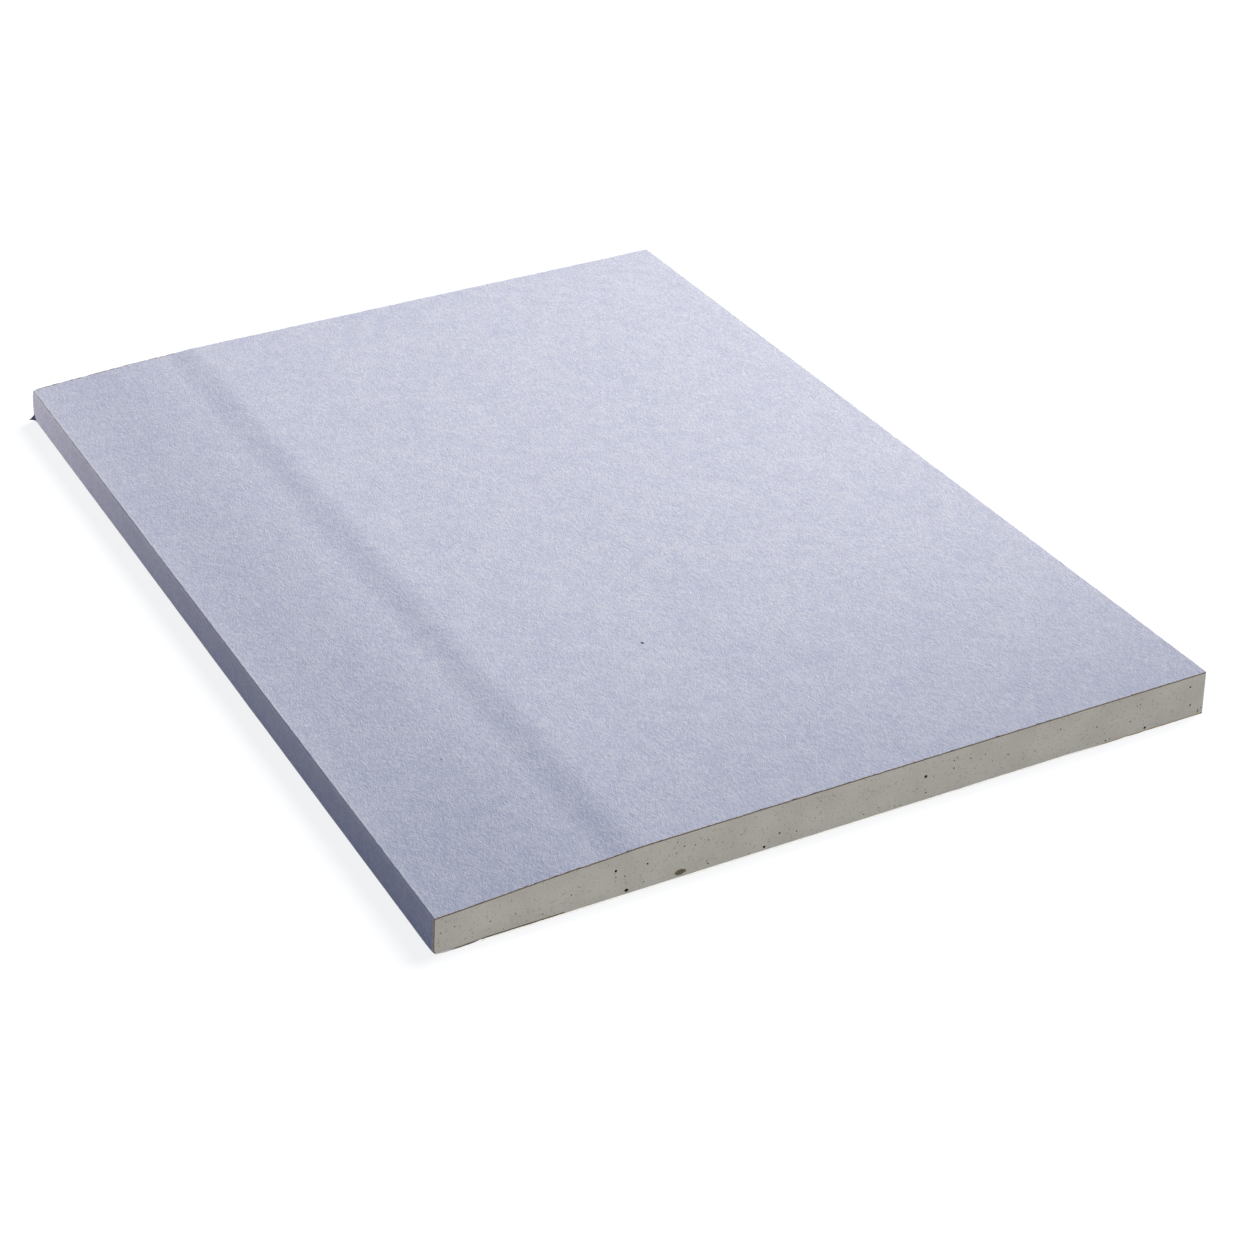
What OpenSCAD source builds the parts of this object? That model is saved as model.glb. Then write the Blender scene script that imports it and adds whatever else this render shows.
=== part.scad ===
// Cut piece of tapered-edge gypsum drywall, lying on its back.
// A gypsum core is held between two papers. The face paper covers the face, turns
// down round the tapered long edge and folds under the back, where the back paper
// laps over the fold. The other three sides are square cuts through all layers.
// Millimetres. X runs across the board, Y along it, Z up. The tapered edge is at -X.
// The origin is the middle of the back, on the surface that the board lies on.

/* [Board] */
// Width across the board, from the tapered edge to the cut edge
board_w = 215; // [120:1:1200]
// Length along the board, from one cut end to the other
board_l = 310; // [100:1:3000]
// Thickness over the flat of the face
board_t = 12.5; // [9:0.5:18]

/* [Tapered edge] */
// Width of the taper, from the edge to the flat of the face
taper_w = 55; // [40:1:80]
// Depth of the taper at the edge
taper_drop = 2.4; // [1:0.1:3.5]
// Width of the shoulder that starts the taper
shoulder_w = 13; // [8:1:24]
// Depth of that shoulder
shoulder_drop = 0.5; // [0.1:0.05:0.9]
// How far the curve of the ramp would run on past the edge
ramp_lead = 13.5; // [0:0.5:20]
// How far that curve runs on under the shoulder
ramp_run_on = 5.5; // [0:0.5:8]
// How far the heel stands out past the arris
edge_lean = 0.6; // [0:0.1:2]
// Radius of the core's arris between the face and the edge, inside the paper
arris_r = 0.1; // [0.05:0.05:1]
// Radius of the core's heel inside the paper, where the edge turns under
heel_r = 0.6; // [0.1:0.1:2]

/* [Paper] */
// Thickness of the face paper
face_paper_t = 0.4; // [0.2:0.05:0.8]
// Thickness of the back paper
back_paper_t = 0.35; // [0.2:0.05:0.8]
// Width of the flap of face paper that is folded under the back
flap_w = 33; // [18:1:45]
// Bare margin of the flap, between the edge and the back paper
flap_margin = 12; // [8:1:17]
// Length over which the flap rises to pass under the back paper
lap_rise = 3; // [1:0.5:4]

/* [Smoothness] */
// Straight steps along the curve of the taper
taper_steps = 36; // [12:1:72]
// Straight steps round the arris and round the heel
corner_steps = 6; // [4:1:16]

/* [Hidden] */

core_colour = [0.66, 0.64, 0.59];
face_colour = [0.75, 0.77, 0.85];
back_colour = [0.68, 0.62, 0.53];

ramp_w = taper_w - shoulder_w;
ramp_span = ramp_lead + ramp_w + ramp_run_on;
// The part of the ramp's curve that lies inside the board has to make up the taper
ramp_drop = (taper_drop - shoulder_drop) / (1 - ease(ramp_lead / ramp_span));
// Radii on the outside of the paper
outer_arris_r = arris_r + face_paper_t;
outer_heel_r = heel_r + face_paper_t;
// Where the face ends and the arris starts, and the centres of the arris and the heel
face_end = edge_lean + outer_arris_r;
arris_centre = [face_end, face_z(face_end) - outer_arris_r];
heel_centre = [outer_heel_r, outer_heel_r];
// Angle at which the edge leans, so that it meets both curves without a corner
lean_angle = atan2(arris_centre.x - heel_centre.x, arris_centre.y - heel_centre.y)
    + asin((heel_r - arris_r) / norm(arris_centre - heel_centre));

// Smooth step from 0 to 1, level at both ends
function ease(share) = (1 - cos(180 * max(0, min(1, share)))) / 2;

// Depth of the face below its flat, by the distance from the tapered edge
function face_drop(from_edge) =
    shoulder_drop * (1 - ease((from_edge - ramp_w) / shoulder_w))
    + ramp_drop * (1 - ease((from_edge + ramp_lead) / ramp_span));

// Height of the face, by the distance from the tapered edge
function face_z(from_edge) = board_t - face_drop(from_edge);

// Points round a corner of the section
function corner(centre, radius, first_angle, last_angle) = [
    for (step = [0:corner_steps])
        let (angle = first_angle + (last_angle - first_angle) * step / corner_steps)
            centre + radius * [cos(angle), sin(angle)]
];

// Line of the face paper at a depth below its outer side: over the face from the
// cut edge, down the taper, round the edge and under to the end of the flap. The flap
// lies level with the back until it rises to pass under the back paper
function wrap_line(depth) = concat(
    [[board_w, board_t - depth]],
    [
        for (step = [0:taper_steps])
            let (from_edge = taper_w + (face_end - taper_w) * step / taper_steps)
                [from_edge, face_z(from_edge) - depth]
    ],
    corner(arris_centre, outer_arris_r - depth, 90, 180 - lean_angle),
    corner(heel_centre, outer_heel_r - depth, 180 - lean_angle, 270),
    [
        [flap_margin - lap_rise, depth],
        [flap_margin, back_paper_t + depth],
        [flap_w, back_paper_t + depth]
    ]
);

function reversed(points) = [for (i = [len(points) - 1:-1:0]) points[i]];

// Runs a section, drawn from the tapered edge and up from the back, along the board
module along_board() {
    translate([-board_w / 2, 0, 0])
        rotate([90, 0, 0])
            linear_extrude(height = board_l, center = true)
                children();
}

// Gypsum cast between the papers. The flap of the face paper is pressed into its back
module gypsum_core() {
    color(core_colour)
        along_board()
            polygon(concat(
                wrap_line(face_paper_t),
                [[flap_w, back_paper_t], [board_w, back_paper_t]]
            ));
}

// One sheet over the face, round the tapered edge and under the back
module face_paper() {
    color(face_colour)
        along_board()
            polygon(concat(wrap_line(0), reversed(wrap_line(face_paper_t))));
}

// Flat sheet over the back and over the inner part of the flap
module back_paper() {
    color(back_colour)
        along_board()
            translate([flap_margin, 0])
                square([board_w - flap_margin, back_paper_t]);
}

gypsum_core();
face_paper();
back_paper();
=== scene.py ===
"""Cut piece of tapered-edge drywall, lying on a white floor.

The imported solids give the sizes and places. The three layers are modelled here once more as fine
meshes with their finish: the fibrous face paper that wraps the tapered edge, the gypsum with air
pores in its cuts, and the plain back paper.
"""
import math
from collections import namedtuple

import bmesh
import bpy
import numpy as np
from mathutils import Matrix, Vector
from mathutils.geometry import delaunay_2d_cdt


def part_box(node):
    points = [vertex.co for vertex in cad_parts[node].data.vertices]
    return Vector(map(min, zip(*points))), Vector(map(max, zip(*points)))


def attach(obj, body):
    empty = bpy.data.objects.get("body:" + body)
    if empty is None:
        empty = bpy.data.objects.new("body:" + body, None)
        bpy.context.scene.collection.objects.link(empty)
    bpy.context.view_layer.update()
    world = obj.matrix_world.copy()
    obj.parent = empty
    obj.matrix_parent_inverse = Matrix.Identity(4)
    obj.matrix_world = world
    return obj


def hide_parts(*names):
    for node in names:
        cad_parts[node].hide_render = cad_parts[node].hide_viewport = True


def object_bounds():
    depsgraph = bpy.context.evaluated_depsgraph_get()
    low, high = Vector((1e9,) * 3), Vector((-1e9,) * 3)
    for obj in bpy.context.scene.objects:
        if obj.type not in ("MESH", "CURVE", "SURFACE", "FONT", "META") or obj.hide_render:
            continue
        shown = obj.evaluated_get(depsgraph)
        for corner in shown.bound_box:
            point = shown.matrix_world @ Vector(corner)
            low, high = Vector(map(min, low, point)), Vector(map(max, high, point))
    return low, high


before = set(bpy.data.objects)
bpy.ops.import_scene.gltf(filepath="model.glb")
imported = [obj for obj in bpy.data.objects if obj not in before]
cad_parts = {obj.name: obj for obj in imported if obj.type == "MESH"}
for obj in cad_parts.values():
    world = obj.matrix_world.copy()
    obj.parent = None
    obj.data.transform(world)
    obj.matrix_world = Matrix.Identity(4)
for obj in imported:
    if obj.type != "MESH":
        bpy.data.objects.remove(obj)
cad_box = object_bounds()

MM = 0.001
SEED = 7

# Sizes of the board in mm, read from the frame
low, high = cad_box
BOARD_W = (high.x - low.x) / MM
BOARD_L = (high.y - low.y) / MM
BOARD_T = (high.z - low.z) / MM
back_low, back_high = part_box("back_paper")
BACK_PAPER_T = (back_high.z - back_low.z) / MM
FLAP_MARGIN = (back_low.x - low.x) / MM
FACE_PAPER_T = (high.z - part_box("gypsum_core")[1].z) / MM

# Sizes of the section in mm, as in the part's source, with the corners' radii outside the paper
TAPER_W = 55.0
TAPER_DROP = 2.4
SHOULDER_W = 13.0
SHOULDER_DROP = 0.5
RAMP_LEAD = 13.5
RAMP_RUN_ON = 5.5
EDGE_LEAN = 0.6
ARRIS_R = 0.1 + FACE_PAPER_T
HEEL_R = 0.6 + FACE_PAPER_T
FLAP_W = 33.0
LAP_RISE = 3.0
# How far the wrapped edge swells past the plain section, and how far in from the edge that reaches
EDGE_SWELL = 0.35
EDGE_SWELL_REACH = 16.0
HEEL_SWELL = 0.12
HEEL_SWELL_REACH = 5.0

# Least part of the inward direction by which a point counts as on the face, the edge or the heel
FACE_FACING = 0.5
EDGE_FACING = 0.5
HEEL_FACING = 0.7
SAG_FACING = 0.2

# Mesh steps in mm, and steps round the corners
FLAT_STEP = 0.8
TAPER_STEP = 0.75
EDGE_STEP = 0.6
FLAP_STEP = 1.5
ROW_STEP = 1.5
BACK_STEP = 2.0
SIDE_STEP = 1.5
END_ROWS = (0.15, 0.4, 0.8)
CORNER_STEPS = 9
CUT_STEP = 2.5
SHARP_ANGLE = 35

# Camera of the photo
CAMERA_PLACE = (-0.29600, -0.63462, 0.39194)
CAMERA_AZIMUTH = -26.445
CAMERA_ELEVATION = 30.747
CAMERA_ROLL = 1.08
CAMERA_LENS = 81.189
CAMERA_SENSOR = 36.0
CAMERA_CLIP = 0.01

# Colours in linear light. Most are as the surfaces have them. The dark of the pores and of the torn tag is
# painted shade, and the pale line on the arris is partly painted highlight
FACE_PALE = (0.665, 0.670, 0.764, 1)
FACE_DEEP = (0.530, 0.546, 0.686, 1)
FIBRE_PALE = (0.80, 0.82, 0.87, 1)
FACE_TAN = (0.52, 0.43, 0.33, 1)
# Pale line on the arris: partly rub, partly painted highlight
RUB_AND_HIGHLIGHT_PALE = (0.86, 0.83, 0.80, 1)
SPECK_DARK = (0.06, 0.07, 0.11, 1)
# Painted shade of the torn tag
TEAR_SHADE_DARK = (0.12, 0.13, 0.19, 1)
PLY_BROWN = (0.22, 0.165, 0.10, 1)
PLY_PALE = (0.86, 0.84, 0.80, 1)
GYPSUM_PALE = (0.70, 0.665, 0.578, 1)
GYPSUM_DEEP = (0.62, 0.584, 0.50, 1)
# Painted shade that fills the pores' hollows
PORE_SHADE_DARK = (0.045, 0.038, 0.028, 1)
STAIN_BROWN = (0.20, 0.165, 0.11, 1)
BACK_PALE = (0.50, 0.43, 0.34, 1)
BACK_DEEP = (0.37, 0.31, 0.235, 1)


# Section of the board

def ease(share):
    """Smooth step from 0 to 1, level at both ends."""
    return (1 - np.cos(np.pi * np.clip(share, 0, 1))) / 2


def face_z(from_edge):
    """Height of the face, by the distance from the tapered edge."""
    ramp_w = TAPER_W - SHOULDER_W
    ramp_span = RAMP_LEAD + ramp_w + RAMP_RUN_ON
    ramp_drop = (TAPER_DROP - SHOULDER_DROP) / (1 - ease(RAMP_LEAD / ramp_span))
    shoulder = SHOULDER_DROP * (1 - ease((from_edge - ramp_w) / SHOULDER_W))
    ramp = ramp_drop * (1 - ease((from_edge + RAMP_LEAD) / ramp_span))
    return BOARD_T - shoulder - ramp


def steps_between(first, last, step):
    """Evenly spaced values from the first to just before the last."""
    count = max(1, round(abs(last - first) / step))
    return np.linspace(first, last, count, endpoint=False)


def corner(centre, radius, first_angle, last_angle):
    """Points round a corner of the section, and the directions into the board."""
    angle = np.radians(np.linspace(first_angle, last_angle, CORNER_STEPS + 1))
    outward = np.stack([np.cos(angle), np.sin(angle)], 1)
    return np.array(centre) + radius * outward, -outward


def straight(points, inward):
    """Points of a straight or gently curved stretch, all with one direction into the board."""
    return np.array(points), np.tile(np.array(inward, float), (len(points), 1))


def wrap_line():
    """Outer line of the face paper, from the cut edge round to the flap's end, with inward directions."""
    face_end = EDGE_LEAN + ARRIS_R
    across = np.concatenate([
        steps_between(BOARD_W, TAPER_W, FLAT_STEP),
        steps_between(TAPER_W, face_end, TAPER_STEP),
    ])
    arris_centre = np.array([face_end, float(face_z(face_end)) - ARRIS_R])
    heel_centre = np.array([HEEL_R, HEEL_R])
    apart = arris_centre - heel_centre
    lean = math.atan2(*apart) + math.asin((HEEL_R - ARRIS_R) / np.linalg.norm(apart))
    outward = np.array([-math.cos(lean), math.sin(lean)])
    turn = 180 - math.degrees(lean)
    edge_top = arris_centre + ARRIS_R * outward
    edge_foot = heel_centre + HEEL_R * outward
    share = steps_between(0, 1, EDGE_STEP / (edge_top[1] - edge_foot[1]))[1:, None]
    flap = np.append(steps_between(HEEL_R, FLAP_W, FLAP_STEP), FLAP_W)[1:]
    flap_z = BACK_PAPER_T * np.clip((flap - FLAP_MARGIN) / LAP_RISE + 1, 0, 1)
    stretches = [
        straight(np.stack([across, face_z(across)], 1), (0, -1)),
        corner(arris_centre, ARRIS_R, 90, turn),
        straight(edge_top + share * (edge_foot - edge_top), -outward),
        corner(heel_centre, HEEL_R, turn, 270),
        straight(np.stack([flap, flap_z], 1), (0, 1)),
    ]
    line = np.concatenate([s[0] for s in stretches])
    inward = np.concatenate([s[1] for s in stretches])
    swell = np.clip(1 - line[:, 0] / EDGE_SWELL_REACH, 0, 1) ** 2
    sag = np.clip(1 - line[:, 0] / HEEL_SWELL_REACH, 0, 1) * (inward[:, 1] > SAG_FACING)
    return line - np.stack([EDGE_SWELL * swell, HEEL_SWELL * sag], 1), inward


def run_along(line):
    """Distance along a line of points from its first point."""
    steps = np.linalg.norm(np.diff(line, axis=0), axis=1)
    return np.concatenate([[0], np.cumsum(steps)])


# Random relief

WAVE_COUNT = 14
WAVE_SPREAD = (0.7, 1.5)
WAVER_LENGTH = 5.0
WAVER_SMOOTH = 0.6
WAVER_ROUGH = 0.4
NOTCH_LEAST = 0.4

# Uneven cuts through the papers: mm of fine waver, mm of notches, and the share of points with a notch
Cut = namedtuple("Cut", "waver notch share")
FACE_FRONT_CUT = Cut(0.05, 0.22, 0.09)
FACE_FAR_CUT = Cut(0.08, 0.28, 0.12)
FACE_SIDE_CUT = Cut(0.05, 0.2, 0.1)
BACK_FRONT_CUT = Cut(0.05, 0.2, 0.1)
BACK_FAR_CUT = Cut(0.07, 0.25, 0.12)
BACK_LAP_CUT = Cut(0.10, 0.0, 0.0)
# How far into the sheet each unevenness fades, in mm
END_CUT_FADE = 0.5
SIDE_CUT_FADE = 0.6
LAP_CUT_FADE = 1.5


def waves(u, v, wavelength, rng):
    """Smooth random relief of about unit size over a plane."""
    total = 0.0
    for _ in range(WAVE_COUNT):
        heading = rng.uniform(0, 2 * math.pi)
        turns = 2 * math.pi / (wavelength * rng.uniform(*WAVE_SPREAD))
        phase = rng.uniform(0, 2 * math.pi)
        total = total + np.cos(turns * (u * math.cos(heading) + v * math.sin(heading)) + phase)
    return total * math.sqrt(2 / WAVE_COUNT)


def ragged(along, cut, rng):
    """Uneven line of a cut through paper: a fine waver, with short notches at a share of the points."""
    smooth = waves(along, np.zeros(len(along)), WAVER_LENGTH, rng)
    rough = rng.uniform(-1, 1, len(along))
    notched = rng.random(len(along)) < cut.share
    cut_back = notched * rng.uniform(NOTCH_LEAST, 1.0, len(along))
    return cut.waver * (smooth * WAVER_SMOOTH + rough * WAVER_ROUGH) - cut.notch * cut_back


def end_shift(across, front_cut, far_cut, grid_y, rng):
    """How far the ragged cuts at both ends move the points of a sheet along the board."""
    front = ragged(across, front_cut, rng) * np.exp(-(grid_y + BOARD_L / 2) / END_CUT_FADE)
    far = ragged(across, far_cut, rng) * np.exp(-(BOARD_L / 2 - grid_y) / END_CUT_FADE)
    return far - front


# Meshes

def make_piece(name, points, faces, material, values):
    """Smooth-shaded closed mesh from points in mm, with named values or vectors at its points."""
    mesh = bpy.data.meshes.new(name)
    mesh.from_pydata((np.asarray(points) * MM).tolist(), [], faces)
    for value_name, data in values.items():
        data = np.asarray(data, np.float32)
        is_vector = data.ndim == 2
        layer = mesh.attributes.new(value_name, "FLOAT_VECTOR" if is_vector else "FLOAT", "POINT")
        layer.data.foreach_set("vector" if is_vector else "value", data.ravel())
    shell = bmesh.new()
    shell.from_mesh(mesh)
    bmesh.ops.recalc_face_normals(shell, faces=shell.faces)
    shell.to_mesh(mesh)
    shell.free()
    mesh.shade_smooth()
    mesh.set_sharp_from_angle(angle=math.radians(SHARP_ANGLE))
    mesh.materials.append(material)
    piece = bpy.data.objects.new(name, mesh)
    bpy.context.scene.collection.objects.link(piece)
    return piece


def row_places():
    """Places of the rows along the board, closer together at both cut ends."""
    half = BOARD_L / 2
    ends = np.array((0.0,) + END_ROWS)
    middle = np.arange(-half + END_ROWS[-1] + ROW_STEP, half - END_ROWS[-1] - ROW_STEP / 2, ROW_STEP)
    return np.concatenate([-half + ends, middle, half - ends[::-1]])


def sheet_faces(rows, columns):
    """Faces of a closed sheet whose outer side is a full grid and whose hidden side is long strips.

    The points are the outer grid row by row, then the inner line of each end, then the inner line
    of each long side between those ends.
    """
    outer = np.arange(rows * columns).reshape(rows, columns)
    start = rows * columns
    near = start + np.arange(columns)
    far = near + columns
    first = np.concatenate([[near[0]], far[-1] + 1 + np.arange(rows - 2), [far[0]]])
    last = np.concatenate([[near[-1]], far[-1] + rows - 1 + np.arange(rows - 2), [far[-1]]])
    faces = []
    for r in range(rows - 1):
        for c in range(columns - 1):
            faces.append((outer[r, c], outer[r, c + 1], outer[r + 1, c + 1], outer[r + 1, c]))
        faces.append((outer[r, 0], outer[r + 1, 0], first[r + 1], first[r]))
        faces.append((outer[r, -1], last[r], last[r + 1], outer[r + 1, -1]))
    for c in range(columns - 1):
        faces.append((outer[0, c], near[c], near[c + 1], outer[0, c + 1]))
        faces.append((outer[-1, c], outer[-1, c + 1], far[c + 1], far[c]))
    faces.append((near[0], *first[1:-1], far[0], far[1], near[1]))
    for c in range(1, columns - 2):
        faces.append((near[c], far[c], far[c + 1], near[c + 1]))
    faces.append((near[-2], far[-2], far[-1], *last[1:-1][::-1], near[-1]))
    return [tuple(int(i) for i in face) for face in faces]


def sheet_points(outer, inner):
    """Points of a closed sheet, in the order that its faces use."""
    return np.concatenate([
        outer.reshape(-1, 3), inner[0], inner[-1], inner[1:-1, 0], inner[1:-1, -1],
    ])


def sheet_values(outer, inner):
    """Values at the points of a closed sheet, in the same order."""
    return np.concatenate([outer.ravel(), inner[0], inner[-1], inner[1:-1, 0], inner[1:-1, -1]])


# Face paper

# Relief of the sheet: mm high, mm long. It is level near the cut edge and near the end of the flap
FACE_RELIEF = ((0.012, 46), (0.008, 15))
RELIEF_FROM_CUT = 2
RELIEF_FROM_FLAP_END = 12
# Tan wear on the edge, and a pale line on the arris that is partly rub and partly painted highlight, by the
# distance past the arris
EDGE_WEAR_PLACE = 2.6
EDGE_WEAR_WIDTH = 2.2
EDGE_WEAR_START = -0.5
WEAR_EVEN = 0.6
WEAR_UNEVEN = 0.35
ARRIS_RUB_HIGHLIGHT_PLACE = -0.05
ARRIS_RUB_HIGHLIGHT_WIDTH = 0.45
RUB_HIGHLIGHT_EVEN = 0.75
RUB_HIGHLIGHT_UNEVEN = 0.25
SHORT_WEAR = 7
LONG_WEAR = 40
SHORT_WEAR_SQUEEZE = 2
# Burr on the far cut of the taper
BURR_REACH = 52.0
BURR_RISE = 6
BURR_LIFT = 0.12
BURR_FADE = 0.35
BURR_LEAST = 0.25
BURR_PLIES = 0.8
# Where the paper is pressed in: the far end of the arris and the front end of the heel
FAR_PRESS = 0.28
FAR_PRESS_REACH = 1.2
FAR_PRESS_FADE = 1.6
HEEL_PRESS = 0.32
HEEL_PRESS_REACH = 0.8
HEEL_PRESS_FADE = 1.4
# Stretch under the heel whose cut plies are pale
PALE_PLIES_LEAD = 0.5
PALE_PLIES_LENGTH = 3.5
PALE_PLIES_FADE = 2.0


def edge_wear(from_arris, grid_run, grid_y, rng):
    """Shares of tan wear on the edge and of the pale arris line, which is partly rub and partly painted
    highlight.
    """
    short = waves(grid_run * SHORT_WEAR_SQUEEZE, grid_y, SHORT_WEAR, rng)
    long = waves(grid_run, grid_y, LONG_WEAR, rng)
    along = (short + long) / 2
    wear = np.exp(-((from_arris - EDGE_WEAR_PLACE) / EDGE_WEAR_WIDTH) ** 2)
    wear = wear * (from_arris > EDGE_WEAR_START) * np.clip(WEAR_EVEN + WEAR_UNEVEN * along, 0, 1)
    rub_and_highlight = np.exp(-((from_arris - ARRIS_RUB_HIGHLIGHT_PLACE) / ARRIS_RUB_HIGHLIGHT_WIDTH) ** 2)
    return wear, rub_and_highlight * np.clip(RUB_HIGHLIGHT_EVEN + RUB_HIGHLIGHT_UNEVEN * along, 0, 1)


def face_paper(material):
    """Sheet over the face, round the tapered edge and under the back, with its cut and torn edges."""
    rng = np.random.default_rng(SEED)
    line, inward = wrap_line()
    run = run_along(line)
    y = row_places()
    grid_run, grid_y = np.meshgrid(run, y)
    from_front = grid_y + BOARD_L / 2
    from_back = BOARD_L / 2 - grid_y
    from_arris = grid_run - run[np.argmax(inward[:, 0] > EDGE_FACING)]
    from_heel = grid_run - run[np.argmax(inward[:, 1] > HEEL_FACING)]
    from_taper = grid_run - run[np.argmax(line[:, 0] < BURR_REACH)]

    relief = sum(height * waves(grid_run, grid_y, length, rng) for height, length in FACE_RELIEF)
    relief *= ease(grid_run / RELIEF_FROM_CUT)
    relief *= ease((run[-1] - grid_run) / RELIEF_FROM_FLAP_END)
    relief -= FAR_PRESS * np.exp(-(from_arris / FAR_PRESS_REACH) ** 2 - from_back / FAR_PRESS_FADE)
    relief -= HEEL_PRESS * np.exp(-(from_heel / HEEL_PRESS_REACH) ** 2 - from_front / HEEL_PRESS_FADE)
    shift = end_shift(run, FACE_FRONT_CUT, FACE_FAR_CUT, grid_y, rng)
    side = ragged(y, FACE_SIDE_CUT, rng)[:, None] * np.exp(-grid_run / SIDE_CUT_FADE)
    on_taper = ease(from_taper / BURR_RISE) * (inward[:, 1] < -FACE_FACING)
    burr = np.exp(-from_back / BURR_FADE) * on_taper * rng.uniform(BURR_LEAST, 1.0, len(run))

    outer = np.empty((len(y), len(run), 3))
    outer[..., 0] = line[:, 0] - inward[:, 0] * relief + side - BOARD_W / 2
    outer[..., 1] = grid_y + shift
    outer[..., 2] = line[:, 1] - inward[:, 1] * relief + BURR_LIFT * burr
    inner = outer.copy()
    inner[..., 0] += inward[:, 0] * FACE_PAPER_T
    inner[..., 2] += inward[:, 1] * FACE_PAPER_T

    wear, rub_and_highlight = edge_wear(from_arris, grid_run, grid_y, rng)
    pale = ease(from_heel + PALE_PLIES_LEAD)
    pale = pale * (1 - ease((from_heel - PALE_PLIES_LENGTH) / PALE_PLIES_FADE))
    sheet = np.stack([
        sheet_values(grid_run, grid_run),
        sheet_values(grid_y, grid_y),
        sheet_values(BURR_PLIES * burr ** 2, np.ones_like(burr)),
    ], 1)
    values = {"sheet": sheet}
    for name, grid in (("wear", wear), ("rub_and_highlight", rub_and_highlight), ("pale", pale)):
        values[name] = sheet_values(grid, grid)
    points = sheet_points(outer, inner)
    piece = make_piece("face_paper_sheet", points, sheet_faces(len(y), len(run)), material, values)
    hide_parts("face_paper")
    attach(piece, "root")
    return piece


# Torn tag of face paper at the far end of the heel

# Where it starts: mm in from the heel, from the far cut and up. Then its run to the tip
TAG_INSET = 0.25
TAG_FROM_BACK = 1.9
TAG_UP = 1.5
TAG_LENGTH = 2.4
TAG_DRIFT = 0.6
TAG_DROOP = 0.5
TAG_ROOT = 3.8
TAG_TIP = 0.06
TAG_NARROWING = 1.4
TAG_STATIONS = 7
TAG_COLUMNS = (-1, -0.4, 0.3, 1)
TAG_LEAN = np.array([0.0, 0.75, 0.45])
TAG_THICKNESS = np.array([0.12, -0.25, 0.42]) * FACE_PAPER_T
TAG_FIBRE_STRETCH = 1.3


def torn_tag(material):
    """Small pointed tear of face paper that stands off the heel at the far end."""
    root = np.array([TAG_INSET - BOARD_W / 2, BOARD_L / 2 - TAG_FROM_BACK, TAG_UP])
    outer = []
    for share in np.linspace(0, 1, TAG_STATIONS):
        half = TAG_ROOT / 2 * (1 - share) ** TAG_NARROWING + TAG_TIP
        middle = root + np.array([-TAG_LENGTH * share, TAG_DRIFT * share, -TAG_DROOP * share ** 2])
        outer.append([middle + TAG_LEAN * half * column for column in TAG_COLUMNS])
    outer = np.array(outer)
    points = sheet_points(outer, outer + TAG_THICKNESS)
    sheet = np.stack([points[:, 0] * TAG_FIBRE_STRETCH, points[:, 1], np.zeros(len(points))], 1)
    faces = sheet_faces(TAG_STATIONS, len(TAG_COLUMNS))
    piece = make_piece("face_paper_tear", points, faces, material, {"sheet": sheet})
    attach(piece, "root")
    return piece


# Back paper, whose cut plies are pale but turn brown towards the cut edge

BROWNED_FROM = 172.0
BROWNED_FADE = 16.0
# Shallow hollows of the back, in mm, which keep clear of its rim
HOLLOW_DEPTH = 0.02
HOLLOW_MOST = 0.08
HOLLOW_LENGTH = 30
HOLLOW_RIM = 4


def back_paper(material):
    """Flat sheet over the back that laps over the flap of the face paper."""
    rng = np.random.default_rng(SEED + 1)
    x = np.append(steps_between(FLAP_MARGIN, BOARD_W, BACK_STEP), BOARD_W)
    y = row_places()
    grid_x, grid_y = np.meshgrid(x, y)
    shift = end_shift(x, BACK_FRONT_CUT, BACK_FAR_CUT, grid_y, rng)
    lap = ragged(y, BACK_LAP_CUT, rng)[:, None] * np.exp(-(grid_x - FLAP_MARGIN) / LAP_CUT_FADE)
    inside = ease((grid_x - FLAP_MARGIN) / HOLLOW_RIM) * ease((BOARD_W - grid_x) / HOLLOW_RIM)
    depth = HOLLOW_DEPTH * (1 + waves(grid_x, grid_y, HOLLOW_LENGTH, rng))
    hollow = inside * np.clip(depth, 0, HOLLOW_MOST)

    outer = np.stack([grid_x + lap - BOARD_W / 2, grid_y + shift, hollow], 2)
    inner = outer.copy()
    inner[..., 2] = BACK_PAPER_T
    points = sheet_points(outer, inner)
    zeros = np.zeros(grid_x.shape)
    sheet = np.stack([points[:, 0], points[:, 1], sheet_values(zeros, zeros + 1)], 1)
    browned = ease((grid_x - BROWNED_FROM) / BROWNED_FADE)
    values = {"sheet": sheet, "browned": sheet_values(browned, browned)}
    piece = make_piece("back_paper_sheet", points, sheet_faces(len(y), len(x)), material, values)
    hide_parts("back_paper")
    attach(piece, "root")
    return piece


# Gypsum core, with the air pores that its cuts open

Pore = namedtuple("Pore", "across up half_width half_height depth stain")
PORE_CLEAR_SIDE = 1.6
PORE_CLEAR_BACK = 0.9
PORE_CLEAR_FACE = 0.5
PORE_RINGS = 3
RIM_STEP = 0.16
RIM_LEAST_SIDES = 8
RIM_UNEVEN = 0.12
BOWL_SINK = (0.85, 1.15)
# Random pores: most are near the least radius. Their height and depth are shares of the radius
FRONT_PORE_COUNT = 150
FAR_PORE_COUNT = 170
SIDE_PORE_COUNT = 240
PORE_LEAST = 0.09
PORE_SPREAD = 0.13
PORE_RARITY = 4
PORE_GAP = 0.25
PORE_SQUASH = (0.8, 1.1)
PORE_DEPTH = 1.3
MARKED_PORE_DEPTH = 1.6
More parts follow.
